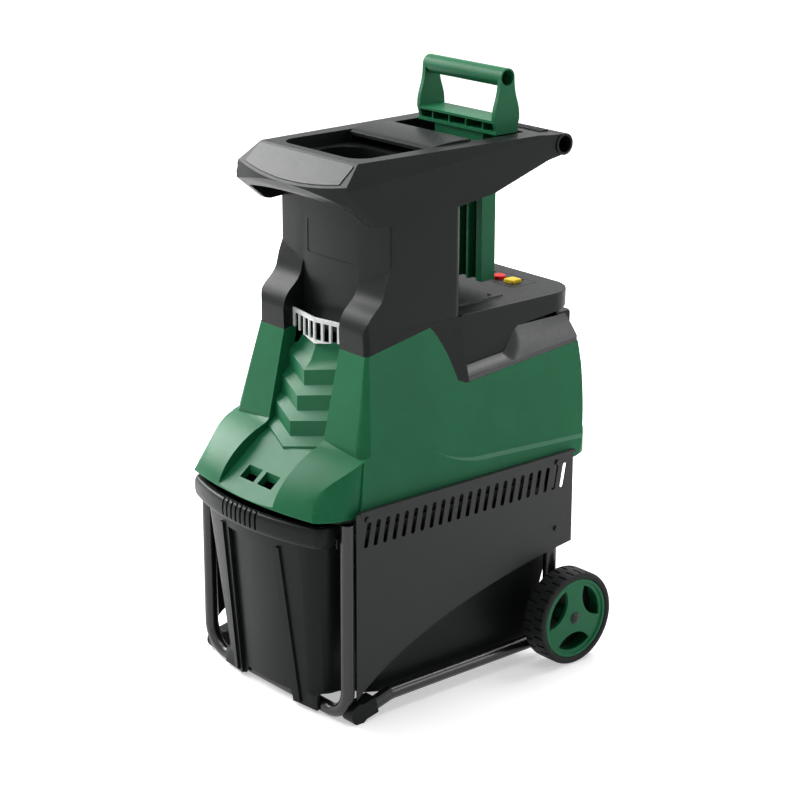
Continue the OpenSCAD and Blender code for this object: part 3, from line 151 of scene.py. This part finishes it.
BLACK = (0.0072, 0.0092, 0.0086)
GREEN = (0.0115, 0.130, 0.054)
GREY = (0.70, 0.72, 0.72)
RED = (0.62, 0.010, 0.010)
YELLOW = (0.85, 0.56, 0.018)
FRAME_PAINT = (0.0050, 0.0058, 0.0056)
PANEL_PAINT = (0.0080, 0.0095, 0.0092)
RUBBER = (0.0062, 0.0072, 0.0070)
STEEL = (0.56, 0.57, 0.58)
ALLOY = (0.58, 0.59, 0.60)

# By the record's material slots
looks = {
    "black_plastic": surface("black_plastic", BLACK, 0.37, specular=0.12),
    "green_plastic": surface("green_plastic", GREEN, 0.40, specular=0.14),
    "grey_plastic": surface("grey_plastic", GREY, 0.42, specular=0.4),
    "frame_paint": surface("frame_paint", FRAME_PAINT, 0.24, spread=0.06,
                           grain=500, depth=0.00002, rim=0.0),
    "panel_paint": surface("panel_paint", PANEL_PAINT, 0.36, specular=0.26,
                           grain=800, depth=0.00005, rim=0.0),
    "tyre_rubber": surface("tyre_rubber", RUBBER, 0.62, specular=0.2, grain=900, depth=0.0003),
    "red_plastic": surface("red_plastic", RED, 0.38, specular=0.12),
    "yellow_plastic": surface("yellow_plastic", YELLOW, 0.38, specular=0.12),
    "steel": surface("steel", STEEL, 0.34, metallic=1.0, stretch=(1.0, 14.0, 14.0), rim=0.0008),
    "alloy": surface("alloy", ALLOY, 0.48, metallic=1.0, grain=700, depth=0.0004),
}

# By node, where one differs from the rest of its slot
dark_screw = surface("screw_black", (0.012, 0.012, 0.013), 0.35, metallic=0.6)
dark_hub = surface("hub_dark", (0.005, 0.013, 0.008), 0.34, specular=0.25)
special = {
    "hopper_front_plate": surface("front_plate", (0.011, 0.013, 0.013), 0.42, specular=0.26,
                                  grain=1100),
    "rear_deck": surface("deck_plastic", BLACK, 0.34, grain=900, depth=0.00004, rim=0.0),
    "motor_stator": surface("stator_steel", (0.20, 0.20, 0.21), 0.55, metallic=1.0,
                            stretch=(1.0, 60.0, 1.0)),
    "switch_unit": surface("switch_plastic", (0.09, 0.09, 0.10), 0.5),
    "capacitor": surface("capacitor_can", (0.70, 0.71, 0.72), 0.35, metallic=0.6),
    "panel_screws": dark_screw, "cover_screws": dark_screw,
    "hub_cap_left": dark_hub, "hub_cap_right": dark_hub,
}


# Tools for the pieces made here

MERGE = 1e-5   # points closer than this are one
TINY = 1e-6


def clamp(value):
    return min(1.0, max(0.0, value))


def ramp(value, low, high):
    """Smooth step from nought at low to one at high."""
    t = clamp((value - low) / (high - low))
    return t * t * (3 - 2 * t)


def copy_of(node):
    """A CAD node's mesh, to be changed without touching the node."""
    bm = bmesh.new()
    bm.from_mesh(cad[node].data)
    bmesh.ops.remove_doubles(bm, verts=bm.verts, dist=MERGE)
    return bm


def close_tube(bm, rings):
    """Join rings of points to a solid with flat ends."""
    count = len(rings[0])
    for left, right in zip(rings, rings[1:]):
        for i in range(count):
            j = (i + 1) % count
            bm.faces.new((left[i], right[i], right[j], left[j]))
    bm.faces.new(rings[0])
    bm.faces.new(rings[-1][::-1])
    bmesh.ops.recalc_face_normals(bm, faces=bm.faces)


def make_object(name, bm):
    mesh = bpy.data.meshes.new(name)
    bm.to_mesh(mesh)
    bm.free()
    obj = bpy.data.objects.new(name, mesh)
    bpy.context.scene.collection.objects.link(obj)
    return obj


# Collection box: the CAD tub with rounded front corners, a front that leans further back,
# upright sides and a full skirt

BOX_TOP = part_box("collection_box")[1][2]
BOX_TOP_HALF, BOX_LOW_HALF, BOX_FLOOR = 0.152, 0.131, 0.032
BOX_FRONT_R, BOX_LEAN, BOX_FRONT = 0.430, math.radians(4), -0.289
BOX_RIM = 0.025                               # height of the rim, which keeps its shape
FRONT_END, SIDE_START = -0.215, -0.150        # the front fades into the side between these
CORNER_R, CORNER_STEPS = 0.046, 9
CORNER_X, CORNER_Y = 0.05, -0.1               # the corner lies outside and in front of these
FRONT_SET_BACK = 0.012                        # at the foot of the front
TUB_BELOW, TUB_FADE = 0.003, 0.007            # the tub moves from just under its floor up
UPRIGHT_HALF, UPRIGHT_DEPTH = 0.160, 0.110    # a side is upright from this far below the top
SIDE_X = (0.110, 0.125)                       # the side fades in between these
SIDE_DROP, SIDE_DROP_TOP = 0.008, 0.100       # a side's foot comes down; fades out at this height
SKIRT_Z, SKIRT_TOP = 0.005, BOX_FLOOR + 0.004
SKIRT_REAR, SKIRT_FADE, SKIRT_END = -0.244, 0.014, -0.220
SKIRT_HALF, SKIRT_FLAT, SKIRT_CUT = 0.1285, 0.085, 0.026
CUTS_Y = (FRONT_END, -0.193, -0.172, SIDE_START)
CUTS_Z = (0.012, 0.020, 0.029, 0.0325, 0.036, 0.060, 0.100, 0.150, BOX_TOP - UPRIGHT_DEPTH,
          BOX_TOP - 0.080, BOX_TOP - 0.050, BOX_TOP - BOX_RIM)


def box_half(z):
    """Half the tub's width at a height."""
    return BOX_LOW_HALF + (BOX_TOP_HALF - BOX_LOW_HALF) * (z - BOX_FLOOR) / (BOX_TOP - BOX_FLOOR)


def corner_centre(z):
    """Centre of a front corner's round at a height, and the angle that it spans."""
    across = box_half(z) - CORNER_R
    reach = math.sqrt((BOX_FRONT_R - CORNER_R) ** 2 - across ** 2)
    front_axis = BOX_FRONT + BOX_FRONT_R / math.cos(BOX_LEAN) - math.tan(BOX_LEAN) * (z - BOX_TOP)
    return across, front_axis - reach, math.atan2(reach, across)


def rounded_corner(x, y, z):
    """Draw a front corner in to its round, by the share of the way from its centre."""
    across, along, most = corner_centre(z)
    du, dv = abs(x) - across, along - y
    angle = math.atan2(dv, du)
    if du <= 0 and dv <= 0 or not 0 < angle < most:
        return x, y
    back = (BOX_FRONT_R - CORNER_R) * math.cos(angle - most)
    to_front = math.sqrt(back ** 2 + BOX_FRONT_R ** 2 - (BOX_FRONT_R - CORNER_R) ** 2) - back
    to_side = CORNER_R / max(TINY, math.cos(angle))
    scale = CORNER_R / min(to_front, to_side)
    return math.copysign(across + du * scale, x), along - dv * scale


def full_skirt(x, y, z):
    """Carry the skirt's cut corner out to the side of the box."""
    if z > SKIRT_TOP or y > SKIRT_END:
        return x
    cut = BOX_LOW_HALF - SKIRT_CUT * (SKIRT_TOP - z) / (SKIRT_TOP - SKIRT_Z)
    return x + math.copysign(max(0.0, SKIRT_HALF - cut) * ramp(abs(x), SKIRT_FLAT, cut), x)


def set_back(y, z):
    """Lean the front further back towards its foot."""
    shift = FRONT_SET_BACK * clamp((BOX_TOP - BOX_RIM - z) / BOX_TOP)
    skirt = clamp((SKIRT_REAR - y) / SKIRT_FADE)
    tub = 1 - ramp(y, FRONT_END, SIDE_START)
    share = clamp((z - BOX_FLOOR + TUB_BELOW) / TUB_FADE)
    return y + shift * (skirt + (tub - skirt) * share)


def upright_side(x, y, z):
    """Move a side out under the rim, and its foot down behind the rail."""
    back = ramp(y, FRONT_END, SIDE_START) * ramp(abs(x), *SIDE_X)
    share = back * ramp(BOX_TOP - z, BOX_RIM, UPRIGHT_DEPTH)
    drop = SIDE_DROP * back * (1 - ramp(z, BOX_FLOOR, SIDE_DROP_TOP))
    return x + math.copysign((UPRIGHT_HALF - box_half(z)) * share, x), z - drop


def near_corner(bm, side):
    """Faces of a front corner, with their points and edges."""
    faces = [f for f in bm.faces
             if any(v.co.x * side > CORNER_X and v.co.y < CORNER_Y for v in f.verts)]
    verts = dict.fromkeys(v for f in faces for v in f.verts)
    edges = dict.fromkeys(e for f in faces for e in f.edges)
    return [*verts, *edges, *faces]


def cut_along(bm, parts, point, normal):
    bmesh.ops.bisect_plane(bm, geom=parts, dist=TINY, plane_co=point, plane_no=normal)


def make_box():
    bm = copy_of("collection_box")
    low, high = corner_centre(0.0), corner_centre(BOX_TOP)
    for side in (-1, 1):
        foot = Vector((side * low[0], low[1], 0))
        head = Vector((side * high[0], high[1], BOX_TOP))
        for k in range(CORNER_STEPS + 1):
            turn = high[2] * k / CORNER_STEPS
            ray = Vector((side * math.cos(turn), -math.sin(turn), 0))
            cut_along(bm, near_corner(bm, side), foot, (head - foot).cross(ray).normalized())
    for y in CUTS_Y:
        cut_along(bm, bm.verts[:] + bm.edges[:] + bm.faces[:], (0, y, 0), (0, 1, 0))
    for z in CUTS_Z:
        cut_along(bm, bm.verts[:] + bm.edges[:] + bm.faces[:], (0, 0, z), (0, 0, 1))
    for v in bm.verts:
        v.co.x = full_skirt(*v.co)
        v.co.x, v.co.y = rounded_corner(*v.co)
        side_x, side_z = upright_side(*v.co)
        v.co = (side_x, set_back(v.co.y, v.co.z), side_z)
    piece = make_object("collection_box_shell", bm)
    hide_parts("collection_box")
    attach(piece, "drawer")
    return piece


# Hopper: the CAD shell, open under its front lip, with a lower hood and a thicker lower edge

RIM_RISE, RIM_PLAY = 0.099, 0.0002            # the rim above the hopper's foot
RIM_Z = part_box("hopper")[0][2] + RIM_RISE
LIP_FRONT, LIP_DEPTH, LIP_R = -0.205, 0.017, 0.600
OPEN_HALF, OPEN_REAR, OPEN_STEPS = 0.127, -0.1285, 8
OPEN_FRONT_DROP, OPEN_REAR_DROP, OPEN_FOOT_DROP = 0.049, 0.086, 0.140
HOOD_HALF, HOOD_FRONT, HOOD_REAR, HOOD_SHARE = 0.0985, 0.003, 0.089, 0.3
APRON_DROP, APRON_HALF, APRON_PROUD = 0.045, 0.1350, 0.0030


def make_opening():
    """The space under the lip, as a solid to take out of the hopper."""
    bm = bmesh.new()
    rings = []
    for k in range(2 * OPEN_STEPS + 1):
        x = OPEN_HALF * (k / OPEN_STEPS - 1)
        front = LIP_FRONT + LIP_DEPTH + LIP_R - math.sqrt(LIP_R ** 2 - x ** 2)
        corners = ((front, OPEN_FOOT_DROP), (front, OPEN_FRONT_DROP),
                   (OPEN_REAR, OPEN_REAR_DROP), (OPEN_REAR, OPEN_FOOT_DROP))
        rings.append([bm.verts.new((x, y, RIM_Z - drop)) for y, drop in corners])
    close_tube(bm, rings)
    return make_object("lip_opening", bm)


def make_hopper():
    opening = make_opening()
    bm = copy_of("hopper")
    for v in bm.verts:
        x, y, z = v.co
        if z > RIM_Z + RIM_PLAY and abs(x) < HOOD_HALF and HOOD_FRONT < y < HOOD_REAR:
            v.co.z = RIM_Z + (z - RIM_Z) * HOOD_SHARE
        if z < RIM_Z - APRON_DROP and abs(x) > APRON_HALF:
            v.co.x += math.copysign(APRON_PROUD, x)
    piece = make_object("hopper_shell", bm)
    cut = piece.modifiers.new("opening", "BOOLEAN")
    cut.operation = "DIFFERENCE"
    cut.solver = "EXACT"
    cut.object = opening
    seen = piece.evaluated_get(bpy.context.evaluated_depsgraph_get())
    piece.data = bpy.data.meshes.new_from_object(seen)
    piece.modifiers.clear()
    bpy.data.objects.remove(opening)
    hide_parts("hopper")
    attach(piece, "machine")
    return piece


# Slopes beside the rear cover, from the deck's edge up to the cover's lower edge

DECK_FRONT_Y, DECK_FRONT_Z, DECK_RISE = 0.036, 0.496, 0.021 / 0.250
SLOPE_FRONT, SLOPE_REAR, SLOPE_REAR_TOP = 0.044, 0.2845, 0.2715
SLOPE_FOOT, SLOPE_HEAD = 0.1478, 0.1306       # half widths
SLOPE_STEPS, SLOPE_ROWS = 60, 4
SLOPE_SWELL, SLOPE_WALL, SLOPE_LAP = 0.0016, 0.0015, 0.0005
BAND, COVER_GAP = 0.0072, 0.0205              # foot and head of the slope above the deck
COVER_PLATE, SCOOP_DROP = 0.003, 0.039        # the scoop's roof below the cover's raised plate
SCOOP_START, SCOOP_END = 0.130, 0.160
SCOOP_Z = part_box("rear_cover")[1][2] - COVER_PLATE - SCOOP_DROP


def deck_at(y):
    """Height of the deck's edge."""
    return DECK_FRONT_Z + (y - DECK_FRONT_Y) * DECK_RISE


def slope_ends(t):
    """Foot and head of the slope, each along and up, at a share of its length."""
    foot_y = SLOPE_FRONT + (SLOPE_REAR - SLOPE_FRONT) * t
    head_y = SLOPE_FRONT + (SLOPE_REAR_TOP - SLOPE_FRONT) * t
    low = deck_at(head_y) + COVER_GAP
    high = SCOOP_Z + SLOPE_LAP if head_y > SCOOP_START else low
    head_z = low + (high - low) * ramp(head_y, SCOOP_START, SCOOP_END)
    return foot_y, deck_at(foot_y) + BAND, head_y, head_z


def make_slope(side):
    bm = bmesh.new()
    rows = []
    for k in range(SLOPE_STEPS + 1):
        foot_y, foot_z, head_y, head_z = slope_ends(k / SLOPE_STEPS)
        row = []
        for j in range(SLOPE_ROWS + 1):
            u = j / SLOPE_ROWS
            swell = SLOPE_SWELL * math.sin(math.pi * u)
            across = SLOPE_FOOT + (SLOPE_HEAD - SLOPE_FOOT) * u + swell
            row.append(bm.verts.new((side * across, foot_y + (head_y - foot_y) * u,
                                     foot_z + (head_z - foot_z) * u)))
        rows.append(row)
    for near, far in zip(rows, rows[1:]):
        for j in range(SLOPE_ROWS):
            face = (near[j], far[j], far[j + 1], near[j + 1])
            bm.faces.new(face if side > 0 else face[::-1])
    piece = make_object("deck_slope_right" if side > 0 else "deck_slope_left", bm)
    wall = piece.modifiers.new("wall", "SOLIDIFY")
    wall.thickness = SLOPE_WALL
    wall.offset = -1
    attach(piece, "machine")
    return piece


# Grip of the box: a full round bar that turns back to the legs at its ends

GRIP_FRONT, GRIP_R, GRIP_DROP = -0.303, 0.434, 0.007
GRIP_Z = BOX_TOP - GRIP_DROP
GRIP_SIDE, GRIP_BEND, GRIP_END = 0.165, 0.018, -0.224
GRIP_STEPS, BEND_STEPS, RING_STEPS = 24, 8, 40
GRIP_DEPTH, GRIP_HALF_H = 0.0085, 0.017
DEPTH_POWER, HEIGHT_POWER = 0.65, 0.8         # below one squares the bar's section
GROOVES, GROOVE_PITCH, GROOVE_HALF, GROOVE_DEPTH = 8, 0.012, 0.002, 0.0035
GROOVE_WALL, GROOVE_CLEAR = 0.0004, 0.001     # slant of its walls, and room beside it
GROOVE_BACK, GROOVE_FULL, GROOVE_FOOT = -0.3, 0.2, -0.6   # its reach round the section


def face_marks(length):
    """Places along half the bar's face, with the depth of the groove at each."""
    marks = {k * length / GRIP_STEPS: 0.0 for k in range(GRIP_STEPS + 1)}
    for k in range(GROOVES // 2):
        middle = (k + 0.5) * GROOVE_PITCH
        for near in [x for x in marks if abs(x - middle) < GROOVE_HALF + GROOVE_CLEAR]:
            del marks[near]
        for wall, depth in ((GROOVE_WALL, 0.0), (0.0, GROOVE_DEPTH)):
            marks[middle - GROOVE_HALF - wall] = depth
            marks[middle + GROOVE_HALF + wall] = depth
    return sorted(marks.items())


def grip_path():
    """Points of the bar's face, each with its outward direction and groove depth."""
    half = []
    for x, depth in face_marks((GRIP_SIDE - GRIP_BEND) / (1 - GRIP_BEND / GRIP_R)):
        tilt = math.asin(x / GRIP_R)
        y = GRIP_FRONT + GRIP_R * (1 - math.cos(tilt))
        half.append((x, y, math.sin(tilt), -math.cos(tilt), depth))
    x, y, out_x, out_y, _ = half[-1]
    centre_x, centre_y = x - GRIP_BEND * out_x, y - GRIP_BEND * out_y
    start = math.atan2(out_y, out_x)
    for k in range(1, BEND_STEPS + 1):
        t = start * (1 - k / BEND_STEPS)
        half.append((centre_x + GRIP_BEND * math.cos(t), centre_y + GRIP_BEND * math.sin(t),
                     math.cos(t), math.sin(t), 0.0))
    half.append((GRIP_SIDE, GRIP_END, 1.0, 0.0, 0.0))
    mirrored = [(-x, y, -out_x, out_y, depth) for x, y, out_x, out_y, depth in half[:0:-1]]
    return mirrored + half


def make_grip():
    bm = bmesh.new()
    rings = []
    for x, y, out_x, out_y, depth in grip_path():
        ring = []
        for k in range(RING_STEPS):
            t = 2 * math.pi * k / RING_STEPS
            c, d = math.cos(t), math.sin(t)
            off = GRIP_DEPTH * (math.copysign(abs(c) ** DEPTH_POWER, c) - 1)
            rise = GRIP_HALF_H * math.copysign(abs(d) ** HEIGHT_POWER, d)
            if c > GROOVE_BACK and rise > GROOVE_FOOT * GRIP_HALF_H:
                off -= depth * ramp(c, GROOVE_BACK, GROOVE_FULL)
            ring.append(bm.verts.new((x + out_x * off, y + out_y * off, GRIP_Z + rise)))
        rings.append(ring)
    close_tube(bm, rings)
    piece = make_object("box_grip_bar", bm)
    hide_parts("box_grip")
    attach(piece, "drawer")
    return piece


# Finish of the pieces: round the edges and shade them smoothly

EDGE = {
    "lower_housing": 0.0035, "chute_housing": 0.005, "hopper": 0.0035, "rear_cover": 0.006,
    "rear_deck": 0.002, "collection_box": 0.003, "plunger_handle": 0.0018,
    "foot_left": 0.003, "foot_right": 0.003, "rim_left": 0.0012, "rim_right": 0.0012,
}
PLAIN_EDGE, THIN_EDGE = 0.0008, 0.0004
FLAT_ANGLE, EDGE_ANGLE, EDGE_SEGMENTS = math.radians(0.6), math.radians(28), 3


def finish_edges(obj, material, width):
    obj.data.materials.clear()
    obj.data.materials.append(material)
    obj.data.polygons.foreach_set("use_smooth", [True] * len(obj.data.polygons))
    weld = obj.modifiers.new("weld", "WELD")
    weld.merge_threshold = MERGE
    flat = obj.modifiers.new("flat", "DECIMATE")
    flat.decimate_type = "DISSOLVE"
    flat.angle_limit = FLAT_ANGLE
    edge = obj.modifiers.new("edge", "BEVEL")
    edge.width = width
    edge.segments = EDGE_SEGMENTS
    edge.limit_method = "ANGLE"
    edge.angle_limit = EDGE_ANGLE
    edge.harden_normals = False
    edge.use_clamp_overlap = True
    shade = obj.modifiers.new("shade", "WEIGHTED_NORMAL")
    shade.keep_sharp = True


for name, obj in cad.items():
    finish_edges(obj, special.get(name, looks[slots[name]]), EDGE.get(name, PLAIN_EDGE))
finish_edges(make_box(), looks["black_plastic"], EDGE["collection_box"])
finish_edges(make_hopper(), looks["black_plastic"], EDGE["hopper"])
finish_edges(make_grip(), looks["black_plastic"], PLAIN_EDGE)
for side in (-1, 1):
    finish_edges(make_slope(side), special["rear_deck"], THIN_EDGE)


# Light and floor

WHITE = (1, 1, 1, 1)
FLOOR_HALF, FLOOR_GREY, FLOOR_ROUGH = 8, (0.8, 0.8, 0.8, 1), 0.9
GLOW, GLOW_REACH = (0.45, 1.0), (0.7, 2.0)    # the floor's glow rises with distance
WORLD_LIGHT = (0.24, 1.0)                     # on the object, and where it is seen itself


def area_light(name, place, aim, size, power):
    data = bpy.data.lights.new(name, "AREA")
    data.shape = "RECTANGLE"
    data.size, data.size_y = size
    data.energy = power
    obj = bpy.data.objects.new(name, data)
    obj.location = place
    obj.rotation_euler = (Vector(aim) - Vector(place)).to_track_quat("-Z", "Y").to_euler()
    bpy.context.scene.collection.objects.link(obj)


def seen_directly(nodes, links):
    """One for camera, glossy and transmission rays, nought for the rest."""
    path = nodes.new("ShaderNodeLightPath")
    last = path.outputs["Is Camera Ray"]
    for other in ("Is Glossy Ray", "Is Transmission Ray"):
        last = combined(nodes, links, "MAXIMUM", last, path.outputs[other])
    return last


area_light("key", (-3.05, -0.75, 2.15), (0, 0, 0.55), (2.0, 2.2), 190)
area_light("rear_top", (-0.3, 2.3, 3.0), (0, 0, 0.6), (2.8, 1.8), 100)
area_light("front", (0.2, -3.4, 1.5), (0, 0, 0.45), (2.0, 2.0), 8)
area_light("top", (-0.5, -0.9, 3.5), (0, 0, 0.6), (2.0, 2.0), 42)
area_light("right_rear", (2.6, 2.0, 1.4), (0, 0, 0.55), (1.6, 1.2), 20)

floor_mesh = bpy.data.meshes.new("floor")
floor_corners = [(sx * FLOOR_HALF, sy * FLOOR_HALF, 0)
                 for sx, sy in ((-1, -1), (1, -1), (1, 1), (-1, 1))]
floor_mesh.from_pydata(floor_corners, [], [(0, 1, 2, 3)])
floor = bpy.data.objects.new("floor", floor_mesh)
bpy.context.scene.collection.objects.link(floor)
floor_mat, nodes, links = new_material("floor_white")
matte = nodes["Principled BSDF"]
matte.inputs["Base Color"].default_value = FLOOR_GREY
matte.inputs["Roughness"].default_value = FLOOR_ROUGH
matte.inputs["Specular IOR Level"].default_value = 0.0
matte.inputs["Emission Color"].default_value = WHITE
place = nodes.new("ShaderNodeTexCoord")
distance = nodes.new("ShaderNodeVectorMath")
distance.operation = "LENGTH"
links.new(place.outputs["Object"], distance.inputs[0])
glow = span(nodes, links, distance.outputs["Value"], GLOW, GLOW_REACH)
seen_glow = combined(nodes, links, "MULTIPLY", seen_directly(nodes, links), glow)
links.new(seen_glow, matte.inputs["Emission Strength"])
floor.data.materials.append(floor_mat)

world = bpy.data.worlds.new("studio")
bpy.context.scene.world = world
world.use_nodes = True
nodes, links = world.node_tree.nodes, world.node_tree.links
backdrop = nodes["Background"]
backdrop.inputs["Color"].default_value = WHITE
strength = span(nodes, links, seen_directly(nodes, links), WORLD_LIGHT, (0, 1))
links.new(strength, backdrop.inputs["Strength"])


# Camera at the photograph's angle: right of the front, and up

AIM = Vector((0, 0, 0.48))
AZIMUTH, ELEVATION, DISTANCE = math.radians(50), math.radians(17.5), 3.5532
LENS, SENSOR, SHIFT_X, SHIFT_Y = 99.0, 36.0, 0.0164, -0.0314

camera_data = bpy.data.cameras.new("camera")
camera_data.lens = LENS
camera_data.sensor_width = SENSOR
camera_data.shift_x = SHIFT_X
camera_data.shift_y = SHIFT_Y
camera = bpy.data.objects.new("camera", camera_data)
toward = Vector((math.sin(AZIMUTH) * math.cos(ELEVATION),
                 -math.cos(AZIMUTH) * math.cos(ELEVATION), math.sin(ELEVATION)))
camera.location = AIM + toward * DISTANCE
camera.rotation_euler = (-toward).to_track_quat("-Z", "Y").to_euler()
bpy.context.scene.collection.objects.link(camera)
bpy.context.scene.camera = camera
bpy.context.scene.view_settings.view_transform = "Standard"
